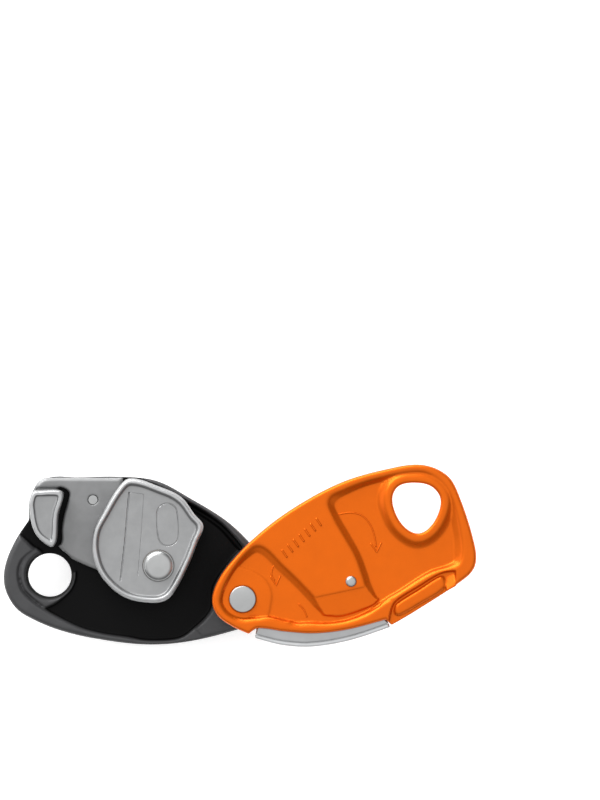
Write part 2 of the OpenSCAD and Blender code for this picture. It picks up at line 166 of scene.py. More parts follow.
def heading(points, i, closed=True):
    """Way along the outline at a point, or none at a corner or an open end."""
    if len(points[i]) > 2 or not closed and i in (0, len(points) - 1):
        return Vector((0, 0))
    return (flat(points[(i + 1) % len(points)]) - flat(points[i - 1])).normalized()


def curved(points, steps=6, closed=True):
    """Smooth curve through the points, in steps from one point to the next."""
    made = []
    for i in range(len(points) if closed else len(points) - 1):
        j = (i + 1) % len(points)
        a, b = flat(points[i]), flat(points[j])
        span = (b - a).length
        for k in range(steps):
            t = k / steps
            made.append((2 * t ** 3 - 3 * t ** 2 + 1) * a + (3 * t ** 2 - 2 * t ** 3) * b
                        + (t ** 3 - 2 * t ** 2 + t) * span * heading(points, i, closed)
                        + (t ** 3 - t ** 2) * span * heading(points, j, closed))
    if not closed:
        made.append(flat(points[-1]))
    return made


def grown(points, reach):
    """The outline moved outwards by reach, or inwards where reach is negative."""
    count = len(points)
    area = sum(flat(points[i - 1]).cross(flat(points[i])) for i in range(count))
    side = 1 if area > 0 else -1
    made = []
    for i, point in enumerate(points):
        before = (flat(point) - flat(points[i - 1])).normalized()
        after = (flat(points[(i + 1) % count]) - flat(point)).normalized()
        along = (before + after).normalized()
        out = Vector((along.y, -along.x)) * side
        lean = max(0.5, out.dot(Vector((before.y, -before.x)) * side))
        moved = flat(point) + out * reach / lean
        made.append([moved.x, moved.y] + list(point[2:]))
    return made


def round_outline(place, radius, count=12):
    turn = 2 * math.pi / count
    return [[place[0] + radius * math.cos(turn * i), place[1] + radius * math.sin(turn * i)]
            for i in range(count)]


def lofted(*levels, tilt=None):
    """Closed solid through one outline at several levels. Millimetres from the pivot in
    plan, and from the fixed plate's back face in height."""
    solid = bmesh.new()
    rings = []
    for points, height in levels:
        verts = []
        for p in curved(points):
            rise = tilt(p) if tilt else 0
            verts.append(solid.verts.new((PIVOT.x + p.x * MM, PIVOT.y + p.y * MM,
                                          (height + rise) * MM)))
        rings.append([solid.edges.new((verts[i - 1], verts[i])) for i in range(len(verts))])
    for lower, upper in zip(rings, rings[1:]):
        bmesh.ops.bridge_loops(solid, edges=lower + upper)
    for ring in (rings[0], rings[-1]):
        bmesh.ops.edgeloop_fill(solid, edges=ring)
    bmesh.ops.recalc_face_normals(solid, faces=solid.faces)
    return solid


def stepped(points, *profile):
    """Closed solid whose outline is grown by a different reach at each level."""
    return lofted(*[(grown(points, reach), height) for reach, height in profile])


def lathed(place, *profile, count=12):
    """Closed round solid from pairs of radius and level."""
    return lofted(*[(round_outline(place, radius, count), height) for radius, height in profile])


def loose(name, solid):
    mesh = bpy.data.meshes.new(name)
    solid.to_mesh(mesh)
    solid.free()
    made = bpy.data.objects.new(name, mesh)
    scene.collection.objects.link(made)
    return made


def joined(solids):
    """Several loose solids in one bmesh."""
    whole = bmesh.new()
    for solid in solids:
        part = bpy.data.meshes.new("part")
        solid.to_mesh(part)
        solid.free()
        whole.from_mesh(part)
        bpy.data.meshes.remove(part)
    return whole


def forged(name, blank, cuts=(), adds=(), last_cuts=(), grain=None, eased=0, engraved=(),
           raised=()):
    """The blank with solids cut away and added, its edges eased as forging or casting does,
    and then lines engraved in it or raised on it."""
    work = loose(name, blank)
    tools = []
    for kind, solids in (("DIFFERENCE", cuts), ("UNION", adds), ("DIFFERENCE", last_cuts)):
        for solid in solids:
            tools.append(loose(name + "_tool", solid))
            step = work.modifiers.new(kind, "BOOLEAN")
            step.operation, step.object, step.solver = kind, tools[-1], "EXACT"
    if grain:
        skin = work.modifiers.new("skin", "REMESH")
        skin.mode, skin.voxel_size, skin.use_smooth_shade = "VOXEL", grain * MM, True
        if eased:
            ease = work.modifiers.new("ease", "SMOOTH")
            ease.factor, ease.iterations = 0.5, eased
    for solid in engraved:
        tools.append(loose(name + "_graver", solid))
        step = work.modifiers.new("engrave", "BOOLEAN")
        step.operation, step.object, step.solver = "DIFFERENCE", tools[-1], "EXACT"
    bpy.context.view_layer.update()
    shape = bpy.data.meshes.new_from_object(
        work.evaluated_get(bpy.context.evaluated_depsgraph_get()))
    work.modifiers.clear()
    work.data = shape
    for tool in tools:
        bpy.data.objects.remove(tool)
    if raised:
        whole = joined(raised)
        whole.from_mesh(shape)
        whole.to_mesh(shape)
        whole.free()
    for face in shape.polygons:
        face.use_smooth = True
    shape.name = name
    return work


def dressed(piece, paint, body, slot, *nodes):
    """Gives a piece its finish and its body, and hides the nodes that it stands for. The slot is
    not used.
    """
    piece.data.materials.clear()
    piece.data.materials.append(paint)
    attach(piece, body)
    if nodes:
        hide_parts(*nodes)
    return piece


def finish(name, colour, rough, metal=1.0, drift=0.06, blotch=0.006, speck=0.0004, dent=0.06,
           coat=0.0, streak=None, painted_light_and_polish=None, shine=0.5):
    """Metal or plastic with slow colour drift, uneven gloss and a fine grain in relief. The
    sizes blotch and speck are in metres. Two heights in millimetres, with the share of the
    colour kept at each, scale the colour by height to paint shade, a reflection or a highlight."""
    paint = bpy.data.materials.new(name)
    paint.use_nodes = True
    nodes, links = paint.node_tree.nodes, paint.node_tree.links
    shader = nodes["Principled BSDF"]
    shader.inputs["Metallic"].default_value = metal
    shader.inputs["Specular IOR Level"].default_value = shine
    shader.inputs["Coat Weight"].default_value = coat
    shader.inputs["Coat Roughness"].default_value = 0.25
    place = nodes.new("ShaderNodeTexCoord")
    slow = wired(nodes, "ShaderNodeTexNoise", Scale=1 / blotch, Detail=4.0, Roughness=0.6)
    links.new(place.outputs["Object"], slow.inputs["Vector"])
    dark = [c * (1 - drift) for c in colour]
    light = [min(1, c * (1 + drift)) for c in colour]
    ramp = nodes.new("ShaderNodeValToRGB")
    ramp.color_ramp.elements[0].position, ramp.color_ramp.elements[1].position = 0.3, 0.7
    ramp.color_ramp.elements[0].color = (*dark, 1)
    ramp.color_ramp.elements[1].color = (*light, 1)
    links.new(slow.outputs["Fac"], ramp.inputs["Fac"])
    links.new(ramp.outputs["Color"], shader.inputs["Base Color"])
    # Colour scaled between two heights: painted shade in hollows, a painted reflection on a low
    # band, and a painted highlight on a polished rim.
    if painted_light_and_polish:
        low, high, low_share, high_share = painted_light_and_polish
        level = nodes.new("ShaderNodeSeparateXYZ")
        links.new(place.outputs["Object"], level.inputs["Vector"])
        depth = wired(nodes, "ShaderNodeMapRange")
        for key, value in (("From Min", low * MM), ("From Max", high * MM),
                           ("To Min", low_share), ("To Max", high_share)):
            depth.inputs[key].default_value = value
        links.new(level.outputs["Z"], depth.inputs["Value"])
        darker = wired(nodes, "ShaderNodeMix", data_type="RGBA", blend_type="MULTIPLY")
        darker.inputs["Factor"].default_value = 1
        links.new(ramp.outputs["Color"], darker.inputs["A"])
        links.new(depth.outputs["Result"], darker.inputs["B"])
        links.new(darker.outputs["Result"], shader.inputs["Base Color"])
    fine = wired(nodes, "ShaderNodeTexNoise", Scale=1 / speck, Detail=3.0, Roughness=0.55)
    if streak:
        turn = nodes.new("ShaderNodeMapping")
        turn.inputs["Scale"].default_value = streak
        links.new(place.outputs["Object"], turn.inputs["Vector"])
        links.new(turn.outputs["Vector"], fine.inputs["Vector"])
    else:
        links.new(place.outputs["Object"], fine.inputs["Vector"])
    gloss = wired(nodes, "ShaderNodeMapRange")
    gloss.inputs["To Min"].default_value = rough - 0.06
    gloss.inputs["To Max"].default_value = rough + 0.06
    links.new(fine.outputs["Fac"], gloss.inputs["Value"])
    links.new(gloss.outputs["Result"], shader.inputs["Roughness"])
    relief = wired(nodes, "ShaderNodeBump", Strength=dent, Distance=0.0002)
    links.new(fine.outputs["Fac"], relief.inputs["Height"])
    links.new(relief.outputs["Normal"], shader.inputs["Normal"])
    return paint


fixed_outline = [[-79.8, 7.5], [-78.9, 2.0], [-75.4, -3.5], [-70, -6.9], [-61.5, -10.4],
                 [-50.5, -13.1], [-33, -15.3], [-18, -14.3], [0, -9.8], [7.5, -6.5],
                 [10.5, 2], [8.5, 10.8], [2.2, 18.8], [-5.6, 26.1], [-17, 33.2],
                 [-29, 39.4], [-42, 40.7], [-55, 40.5], [-64.5, 40.5], [-69, 37.4],
                 [-71.2, 31], [-71.4, 26.2, CORNER], [-75.4, 20.3], [-78.6, 13.5]]
fixed_recess = [[-74.9, 21.5, CORNER], [-69.4, 16.4, CORNER], [-73.9, 12.5], [-75, 7.6],
                [-73.2, 2], [-66.6, -3.4], [-55.4, -9.4], [-47.7, -11.7], [-37.7, -13.2],
                [-33, -14.1], [-25.2, -14.1], [-20.6, -13.2], [-17.2, -11], [-10.4, -3.9],
                [-9.4, 4], [-3.5, 13], [0.4, 17, CORNER],
                [-7, 25.4], [-15.4, 31], [-27.2, 37], [-38, 42, CORNER], [-42, 60, CORNER],
                [-90, 60, CORNER]]
rim_groove = [[-29, 37.0], [-15.8, 30.4], [-7.2, 24.8], [0.0, 17.0], [-1.1, 16.2],
              [-8, 23.5], [-16.6, 29.2], [-29, 35.4]]
rim_dip = [[-16.2, -10.2, CORNER], [-12.9, -13.4, CORNER], [-13, -18, CORNER],
           [-37.8, -18, CORNER], [-36.4, -12, CORNER]]
fixed_top = 4.8
fixed_floor = 2.6
hole_place = (-PIVOT.x / MM, -PIVOT.y / MM)
hole_r = 7.2
hole_mouth_r = 9.1

hole_land = [[-69.0, 16.9, CORNER], [-72.9, 13.5], [-74.4, 8.6], [-73.1, 3.3], [-70.7, 0.8],
             [-68.2, -1.4], [-65.9, -3.1, CORNER], [-63.2, -1.9], [-60.5, 0], [-57.4, 3.1],
             [-56, 6.4], [-55.9, 9, CORNER], [-63, 9], [-66.5, 15, CORNER]]
fixed_plate = forged(
    "fixed_plate",
    stepped(fixed_outline, (0, 0), (0, fixed_top - 1.5), (-0.3, fixed_top - 0.7),
            (-0.75, fixed_top - 0.2), (-1.4, fixed_top)),
    cuts=[stepped(fixed_recess, (-0.6, fixed_floor), (0, fixed_top - 0.6),
                  (0.6, fixed_top + 0.05), (0.6, fixed_top + 3)),
          stepped(rim_dip, (0, fixed_top - 0.5), (0.8, fixed_top + 0.1), (0.8, fixed_top + 3)),
          stepped(rim_groove, (0, 1.6), (0, 8))],
    adds=[stepped(hole_land, (0.5, 1.6), (0, 3.6), (-0.5, 4.3))],
    last_cuts=[lathed(hole_place, (hole_r, -5), (hole_r, 2), (8, 3.2), (8.5, 4.2),
                      (hole_mouth_r, 4.6), (hole_mouth_r, 9))],
    grain=0.4, eased=3)
# Painted shade: below 3 mm height the colour falls to 5%, rising to the full grey at 4 mm, so
# the recess floor, the groove along the far rim and the hole's flared mouth are darkened as
# shade.
dark_anodised_painted_shade = finish("dark_anodised_painted_shade", (0.06, 0.06, 0.062), 0.45, metal=0.5, speck=0.0003,
                       dent=0.12, painted_light_and_polish=(3.0, 4.0, 0.05, 1), shine=0.1)
dressed(fixed_plate, dark_anodised_painted_shade, "frame", "dark_plate", "fixed_side_plate")


# ---- Rope guide, its post and rivets ---------------------------------------------------------
# Two steel castings riveted to the plate: a floor that the climber's strand runs over, and a
# tall post with a sunk face that keeps the rope off the hole. A slot cut in the floor beside the
# post's foot bares the dark plate as a painted shadow of the post, and a shallow groove in the
# floor runs round the foot's far side.
guide_outline = [[-71.4, 27.4, CORNER], [-71.3, 32.5], [-69.5, 37.2], [-67.1, 39.9],
                 [-63.8, 40.4], [-53.3, 40.4], [-40, 40.4, CORNER], [-40, 20], [-47, 9, CORNER],
                 [-57.5, 13.6], [-63.5, 19.5], [-69.3, 24, CORNER]]
post_outline = [[-70.6, 34.2], [-69.6, 35.7], [-68.4, 35.9], [-61, 36],
                [-59.9, 33.9], [-61.6, 28], [-62.2, 19.2],
                [-64, 17.4], [-69.3, 22.2], [-71.1, 31]]
post_foot = [[-70.8, 34.4], [-69.7, 36.0], [-68.4, 36.3], [-61.1, 36.3],
             [-59.7, 34.9], [-61.4, 28], [-62.1, 19.2],
             [-64, 17.3], [-69.4, 22.1], [-71.2, 31]]
# Painted shadow: this slot bares the dark plate's shaded floor beside the post, standing in for
# the post's shadow.
post_shadow_slot = [[-61.6, 36.9], [-59.4, 36.7], [-57.9, 35.2], [-58.4, 32.3], [-59.8, 27.6],
             [-60.5, 22.9], [-60.5, 19.4], [-61.7, 17.5], [-63, 18.4], [-64, 28], [-62, 34]]
foot_groove = [[-68.8, 35.8], [-68.8, 36.8], [-67, 37.0], [-62, 37.0], [-60.4, 36.8],
               [-60.4, 35.4], [-64, 35.2]]
guide_rivet_places = [[-66, 30], [-50, 33]]
guide_rivet_r = 1.6
guide_floor = 4.4
post_top = 15.5


def drilled(place, radius, low=-20, high=40):
    """Round cutter for a hole."""
    return lathed(place, (radius, low), (radius, high))


guide_steel = finish("blasted_guide_steel", (0.212, 0.214, 0.216), 0.45, metal=0.85,
                     speck=0.00028, dent=0.16, blotch=0.004)
rope_guide = forged(
    "cast_rope_guide",
    stepped(guide_outline, (0, fixed_floor), (0, guide_floor - 0.5), (-0.6, guide_floor - 0.3),
            (-1.0, guide_floor)),
    cuts=[stepped(post_shadow_slot, (0, 0), (0, guide_floor - 0.5), (0.35, guide_floor), (0.35, 9)),
          stepped(foot_groove, (0, guide_floor - 0.6), (0.3, guide_floor + 0.1), (0.3, 9))]
    + [drilled(place, guide_rivet_r) for place in guide_rivet_places],
    last_cuts=[drilled(hole_place, hole_mouth_r)],
    grain=0.3, eased=3)
dressed(rope_guide, guide_steel, "frame", "cast_steel", "rope_guide")

guide_post = forged(
    "cast_guide_post",
    lofted((post_foot, guide_floor - 0.5), (post_foot, guide_floor + 1),
           (post_outline, post_top - 0.6),
           (grown(post_outline, -0.15), post_top - 0.15), (grown(post_outline, -0.5), post_top)),
    cuts=[stepped(post_outline, (-1.6, post_top - 1.0), (-1.3, post_top + 0.1),
                  (-1.3, post_top + 3))],
    grain=0.25, eased=2)
# Painted highlight on a polished rim: the colour is lifted from 15.0 mm up to 1.42 times at 15.3
# mm, lightening the raised rim round the sunk face.
post_steel = finish("polished_rim_painted_highlight_post_steel", (0.26, 0.263, 0.266), 0.42, metal=0.85,
                    speck=0.00028, dent=0.14, blotch=0.004,
                    painted_light_and_polish=(post_top - 0.5, post_top - 0.2, 1, 1.42))
dressed(guide_post, post_steel, "frame", "cast_steel", "guide_post")


# ---- Brake block -----------------------------------------------------------------------------
# Cast steel jaw beside the pivot, which the cam presses the rope against. The pivot rivet
# goes through it.
block_outline = [[-9.6, -3], [-9.6, 1.5], [-6.9, 7.2], [-2, 13.3], [1.6, 16.8], [5, 14.2],
                 [8.6, 7], [9.4, 0], [7, -5.8], [0.8, -8.6], [-5.5, -7.6]]
block_top = 15.4
pivot_shank_r = 3
brake_block = forged(
    "cast_brake_block",
    stepped(block_outline, (0, fixed_top), (0, block_top - 0.6), (-0.6, block_top)),
    cuts=[drilled((0, 0), pivot_shank_r)], grain=0.35, eased=3)
dressed(brake_block, finish("dark_cast_steel", (0.08, 0.08, 0.083), 0.45, metal=0.8, dent=0.14),
        "frame", "dark_steel", "brake_block")


# ---- Cam -------------------------------------------------------------------------------------
# Steel casting that turns on the axle and pinches the rope with its near corner. A rim with
# rounded edges stands round its sunk face, which carries the engraved lines of a blank panel.
AXLE = sum(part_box("cam_axle"), Vector()) / 2
cam_outline = [[-37.6, 40.2], [-41.8, 36.7], [-46.6, 28.8], [-49.8, 22.4], [-50, 15],
               [-47, 7.2], [-39.7, 0.7], [-31.1, -1.3], [-25.2, -0.3], [-21.6, 4.2],
               [-17.6, 12.2], [-15, 18.9], [-13.1, 24.3], [-16, 28.1], [-20.5, 33.9],
               [-27.5, 37.3]]
cam_low, cam_top, cam_face = 4.8, 15.0, 13.3
cam_bore_r = 5
engraving_level = cam_face + 0.02
panel_line = [[-37.8, 35.6], [-38.5, 27.6], [-39.3, 18.3], [-40.7, 6.1]]
panel_edge = [[-37.6, 35.5, CORNER], [-32.9, 34.8, CORNER], [-33.6, 24.5], [-34.9, 7.8]]
label_place = (-25.0, 24.8)
axle_place = ((AXLE.x - PIVOT.x) / MM, (AXLE.y - PIVOT.y) / MM)


def wire(points, radius, height, closed=False, sides=8):
    """Round bar along a curve at one level, for a raised or an engraved line."""
    bar = bmesh.new()
    path = curved(points, 4, closed)
    count = len(path)
    rings = []
    for i, p in enumerate(path):
        before = path[i - 1] if closed or i else p
        after = path[(i + 1) % count] if closed or i < count - 1 else p
        along = (after - before).normalized()
        ring = bmesh.ops.create_circle(bar, segments=sides, radius=radius * MM)["verts"]
        turn = Vector((0, 0, 1)).rotation_difference(Vector((along.x, along.y, 0)))
        place = Matrix.Translation((PIVOT.x + p.x * MM, PIVOT.y + p.y * MM, height * MM))
        bmesh.ops.transform(bar, matrix=place @ turn.to_matrix().to_4x4(), verts=ring)
        rings.append(list({edge for v in ring for edge in v.link_edges}))
    pairs = list(zip(rings, rings[1:])) + ([(rings[-1], rings[0])] if closed else [])
    for one, two in pairs:
        bmesh.ops.bridge_loops(bar, edges=one + two)
    if not closed:
        for ring in (rings[0], rings[-1]):
            bmesh.ops.edgeloop_fill(bar, edges=ring)
    bmesh.ops.recalc_face_normals(bar, faces=bar.faces)
    return bar


def capsule(place, half_length, half_width, lean=0.0):
    """Outline of a long rounded mark, leaning from upright by an angle in degrees."""
    turn = Matrix.Rotation(math.radians(lean), 2)
    made = []
    for way in (1, -1):
        for step in range(5):
            angle = math.pi * step / 4 + (0 if way > 0 else math.pi)
            p = Vector((half_width * math.cos(angle),
                        half_width * math.sin(angle) + way * (half_length - half_width)))
            made.append(list(turn @ p + Vector(place)))
    return made


cam = forged(
    "cast_cam",
    stepped(cam_outline, (0, cam_low), (0, cam_top - 1.2), (-0.35, cam_top - 0.5),
            (-0.75, cam_top - 0.1), (-1.3, cam_top)),
    cuts=[stepped(cam_outline, (-2.15, cam_face), (-1.65, cam_top - 0.35),
                  (-1.3, cam_top + 0.05), (-1.3, cam_top + 3)),
          drilled(axle_place, cam_bore_r)],
    engraved=[wire(panel_line, 0.26, engraving_level), wire(panel_edge, 0.09, engraving_level),
              wire(capsule(label_place, 7.1, 3.4, 3), 0.2, engraving_level, closed=True)],
    grain=0.28, eased=2)
# Painted highlight on a polished rim: the colour is lifted from 13.8 mm up to 1.4 times at 14.7
# mm, lightening the raised rim and its rounded edges.
cam_steel = finish("polished_rim_painted_highlight_cam_steel", (0.275, 0.278, 0.281), 0.44, metal=0.85,
                   speck=0.00028, dent=0.16, blotch=0.004,
                   painted_light_and_polish=(cam_top - 1.2, cam_top - 0.3, 1, 1.4))
dressed(cam, cam_steel, "cam_unit", "cast_steel", "cam")


# ---- Swinging side plate ---------------------------------------------------------------------
# Forged aluminium plate, anodised orange, that swings over the rope. Two deep pockets with
# sloping walls leave a rim and a raised middle, and a soft collar stands round its hole.
swing_outline = [[-10.2, -0.8], [-8.3, -5.5], [-3.4, -9.1], [2.1, -11.6, CORNER], [5, -9.7],
                 [14, -10.8], [24, -11.4], [35.1, -10.1], [47.6, -6.8, CORNER],
                 [49.6, -8.6, CORNER], [57, -4.3], [74.2, 7], [77.5, 11.4], [77.3, 18],
                 [72.4, 33.8], [68.2, 41.2], [59.5, 44.8], [47.4, 43.2], [32.8, 38.9],
                 [17.9, 31], [5.5, 21.9], [-4.5, 11.7], [-8.8, 5]]
pivot_pocket = [[-7.6, 0.2], [-5.9, -4.4], [-1.6, -7.0], [4, -6.9], [8.5, -6.4], [15, -7.9],
                [23, -8.6], [28.5, -7.4], [25.6, -1.6], [19.4, 5.4], [13.3, 11.3],
                [7.2, 17.2], [3.4, 17.4], [-3.6, 9.4]]
pivot_floor = [[-6.7, 0.2], [-5.0, -3.6], [-1.2, -5.5], [4, -6.0], [8.7, -5.5], [15, -6.9],
               [22.8, -7.4], [26.8, -6.6], [23.2, -2.2], [17.6, 3.8], [11.6, 9.4],
               [6.6, 14.4], [4.2, 15.2], [-2.9, 8.9]]
channel = [[15, -3.4], [28.3, -5.05], [32.4, -5.25], [38.2, -3.65], [43.3, -1.45],
           [46.6, 1.1], [48.9, 0.2], [47.3, -1.1], [41.6, -5], [35.3, -7.5], [28.9, -8.6],
           [23, -8.6], [15, -7.9]]
channel_floor = [[16, -4], [28.3, -5.25], [32.4, -5.45], [38.2, -3.85], [43.3, -1.65],
                 [46.4, 1], [48.1, 0.7], [46.6, -0.2], [41.2, -4.1], [35.1, -6.7],
                 [28.8, -7.7], [22.8, -7.4], [16, -7.0]]
end_facet = [[22, 0.3, CORNER], [25.9, 1.2, CORNER], [39.1, 4, CORNER], [46, 5.4, CORNER],
             [47.5, 0.5], [44.5, -3], [38.6, -5.6], [32.6, -7], [28.3, -7.2],
             [22, -6.8, CORNER]]
hand_pocket = [[28.6, 33.2], [29.9, 27.9], [34.1, 20.4], [37.4, 14.6], [39.9, 7.9],
               [41.8, 2.4], [45.2, -1], [50, 0.8], [62.4, 8.4], [71.4, 11.4], [73, 15],
               [72.6, 22], [69.6, 34], [65, 40], [58.5, 42.6], [43, 39.8], [33.6, 36.4]]
hand_floor = [[30.9, 31.8], [31.9, 28.4], [35.9, 21.4], [39.2, 15.4], [41.7, 8.8],
              [43.4, 3.8], [45.7, 0.2], [49.8, 1.5], [61.9, 9.2], [70, 12.6], [70.4, 16.2],
              [70, 22], [67.2, 32.6], [63.2, 38.2], [58.0, 41.0], [43.4, 38.2],
              [35, 34.8]]
swing_hole = [[49.9, 33.7], [52, 37.6], [57.2, 38.7], [62.8, 37.5], [65.8, 33.5],
              [64.8, 27.8], [61.5, 23.2], [58, 21.9], [54.2, 23.8], [51.2, 28]]
pivot_boss = [[-7.5, 0.2], [-5.7, -4.2], [-1.6, -6.3], [4, -5.7], [8.1, -6.0], [9.6, -2],
              [9.9, 2], [8.6, 5.6], [6, 8.2], [2, 10.2], [-2.6, 10.8], [-6, 6]]
near_ledge = [[49.2, -3.6], [50.9, -0.4], [58.5, 4.5], [66.4, 9.1], [71.1, 9.7, CORNER],
              [71.3, 0, CORNER], [60, -10], [50.4, -14], [48.4, -9]]
long_pad = [[50.4, -3.4], [51.2, -1.5], [58.5, 3.2], [65.5, 7.6], [67.1, 7.2], [67.1, 3.6],
            [58.5, -1.9], [52.4, -5.3], [50.8, -5]]
end_pad = [[67.8, 8.6, CORNER], [71, 9.2, CORNER], [71, 4.4, CORNER], [67.8, 2.6, CORNER]]
sheet_outline = [[4.1, -13, CORNER], [13, -15.3], [23, -15.9], [36, -13.7],
                 [49.2, -9.3, CORNER], [47.9, -6.7, CORNER], [45.5, -2], [40.5, 8],
                 [36.2, 10.4], [32, 8], [24, 1], [12, 4.5], [4, 8.4], [-4.5, 7.4],
                 [-8.2, 0.5], [-5.6, -5.5], [1, -9, CORNER], [4.6, -9.8, CORNER]]
swing_low, swing_thin, swing_top = 16.0, 18.4, 20.4
bush_bore_r = 4.25
facet_start, facet_way, facet_slope = Vector((25.9, 1.2)), Vector((-0.21, 0.978)), 0.13
end_pad_middle, end_pad_way, end_pad_slope = Vector((69.5, 6.5)), Vector((0.55, -0.84)), 0.36
rib_level, rib_r = swing_thin - 0.06, 0.3
bar_level, bar_r = swing_top - 0.1, 0.38
bar_reach = Vector((0.9, -1.3))
collar_profile = [(5.4, 18.2), (4.7, 18.5), (3.9, 19.0), (3.1, 19.65), (2.6, 20.05),
                  (2.1, 20.3), (1.5, 20.4)]
hole_profile = [(0.8, 15.9), (0, 16.8), (0, 19.6), (0.3, 20.1), (0.8, 20.45), (0.8, 23)]
rope_arcs = [[[31.9, 28.2], [35.6, 28.8], [39.4, 28], [42.2, 25.2], [43.8, 21.4],
              [44.4, 17.4]],
             [[12.4, 13.0], [10.2, 10.8], [9.6, 8.2], [10.6, 6.2]],
             [[18.6, -1.6], [20.4, -3.6], [21.4, -6]]]
arrow_heads = [[[42.6, 18.6, CORNER], [44.6, 15.6, CORNER], [46.2, 18.8, CORNER]],
               [[9.2, 7.6, CORNER], [11.2, 4.6, CORNER], [12.6, 7.8, CORNER]]]
plain_bars = [[13.9 + 1.9 * i, 15.2 + 1.75 * i] for i in range(7)]


def facet_level(p):
    """Height of the sloping end of the raised middle, falling from a small step."""
    fall = (p - facet_start).dot(facet_way)
    return swing_top - 0.3 + facet_slope * min(0, fall)


def pad_level(p):
    """Height of the small end pad, which leans towards the far left."""
    return 19.5 + end_pad_slope * (p - end_pad_middle).dot(end_pad_way)


def pressed(bottom, mouth):
    """Cutter for a pocket with sloping walls and a rounded mouth."""
    return lofted((bottom, swing_thin), (grown(mouth, -0.45), swing_top - 0.8),
                  (mouth, swing_top - 0.38), (grown(mouth, 0.5), swing_top - 0.12),
                  (grown(mouth, 1.0), swing_top + 0.03), (grown(mouth, 1.0), swing_top + 3))


ribs = [wire(line, rib_r, rib_level) for line in rope_arcs + arrow_heads]
for place in plain_bars:
    ends = (Vector(place) - bar_reach, Vector(place) + bar_reach)
    ribs.append(wire([[*end, CORNER] for end in ends], bar_r, bar_level))

side_plate = forged(
    "swinging_plate",
    stepped(swing_outline, (0, swing_low), (0, swing_top - 1.1), (-0.3, swing_top - 0.4),
            (-0.9, swing_top)),
    cuts=[pressed(pivot_floor, pivot_pocket), pressed(hand_floor, hand_pocket),
          pressed(channel_floor, channel),
          lofted((end_facet, 0), (end_facet, 4), tilt=facet_level),
          stepped(near_ledge, (-0.5, 18.9), (0, 20.5), (0, 24)),
          stepped(sheet_outline, (0.15, 15), (0.15, 17.05))],
    adds=[stepped(swing_hole, *collar_profile),
          stepped(pivot_boss, (0, 17.5), (0, 18.5), (-0.7, 18.85)),
          stepped(long_pad, (0, 18), (0, 19.3), (-0.4, 19.75), (-1.0, 20.0)),
          lofted((end_pad, -1.5), (end_pad, 0), tilt=pad_level)],
    raised=ribs,
    last_cuts=[stepped(swing_hole, *hole_profile), drilled((0, 0), bush_bore_r)],
    grain=0.32, eased=3)
orange_anodised = finish("orange_anodised", (0.61, 0.106, 0.002), 0.36, metal=0.7, drift=0.03,
                         speck=0.00022, dent=0.08, coat=0.04, shine=0.2)
dressed(side_plate, orange_anodised, "side_plate", "orange_plate", "swinging_side_plate")


# ---- Friction plate --------------------------------------------------------------------------
# Stainless sheet under the swinging plate, folded into a thick hem along the near edge, where
# the rope runs over it. A round-headed rivet through the plate holds its far corner.
hem_outline = [[4.1, -13, CORNER], [13, -15.3], [23, -15.9], [36, -13.7],
               [49.2, -9.3, CORNER], [47.9, -6.7, CORNER], [36, -10.5], [23, -12.7],
               [13, -12.1], [4.6, -10.2, CORNER]]
hem_top = [[4.3, -11.7, CORNER], [13, -13.8], [23, -14.4], [36, -12.2], [48.6, -8.0, CORNER],
           [47, -6, CORNER], [36, -9], [23, -10.4], [13, -9.8], [5, -9, CORNER]]
friction_rivet_at = (36.1, 5.9)
friction_rivet_r = 1.2
sheet_thick = 1
hem = forged(
    "stainless_friction_plate",
    stepped(sheet_outline, (0, swing_low), (0, swing_low + sheet_thick)),
    adds=[stepped(hem_outline, (0, 15.7), (0, 17.3), (-0.3, 17.7), (-0.6, 17.8)),
          stepped(hem_top, (0, 16.5), (0, 18.1), (-0.2, 18.4))],
    last_cuts=[drilled((0, 0), bush_bore_r), drilled(friction_rivet_at, friction_rivet_r)],
    grain=0.25, eased=2)
# Painted reflection of the white table: below 17.9 mm the colour is lifted 1.55 times, fading to
# the plain grey at 18.2 mm, so the hem's low outer band looks light.
stainless = finish("brushed_stainless_painted_reflection", (0.34, 0.345, 0.35), 0.32, speck=0.0002, dent=0.05,
                   streak=(1, 12, 1), painted_light_and_polish=(17.9, 18.2, 1.55, 1))
dressed(hem, stainless, "side_plate", "stainless", "friction_plate")


def turned(name, profile, place):
    """Solid turned on a lathe from pairs of radius and height about a place."""
    solid = bmesh.new()
    verts = [solid.verts.new((r * MM, 0, z * MM)) for r, z in profile]
    edges = [solid.edges.new(pair) for pair in zip(verts, verts[1:])]
    bmesh.ops.spin(solid, geom=verts + edges, cent=(0, 0, 0), axis=(0, 0, 1),
                   angle=2 * math.pi, steps=72, use_merge=True)
    bmesh.ops.remove_doubles(solid, verts=solid.verts, dist=1e-6)
    bmesh.ops.recalc_face_normals(solid, faces=solid.faces)
    bmesh.ops.translate(solid, verts=solid.verts,
                        vec=(PIVOT.x + place[0] * MM, PIVOT.y + place[1] * MM, 0))
    made = loose(name, solid)
    made.data.set_sharp_from_angle(angle=math.radians(40))
    return made


bright_steel = finish("bright_steel", (0.36, 0.365, 0.365), 0.36, speck=0.0003, dent=0.06)
friction_rivet = turned("domed_friction_rivet",
                        [(0, 16), (friction_rivet_r, 16), (friction_rivet_r, 20.35),
                         (1.85, 20.4), (1.82, 20.6),
                         (1.6, 20.85), (1.25, 21.03), (0.8, 21.14), (0, 21.2)],
                        friction_rivet_at)
dressed(friction_rivet, bright_steel, "side_plate", "rivet_steel", "friction_rivet")


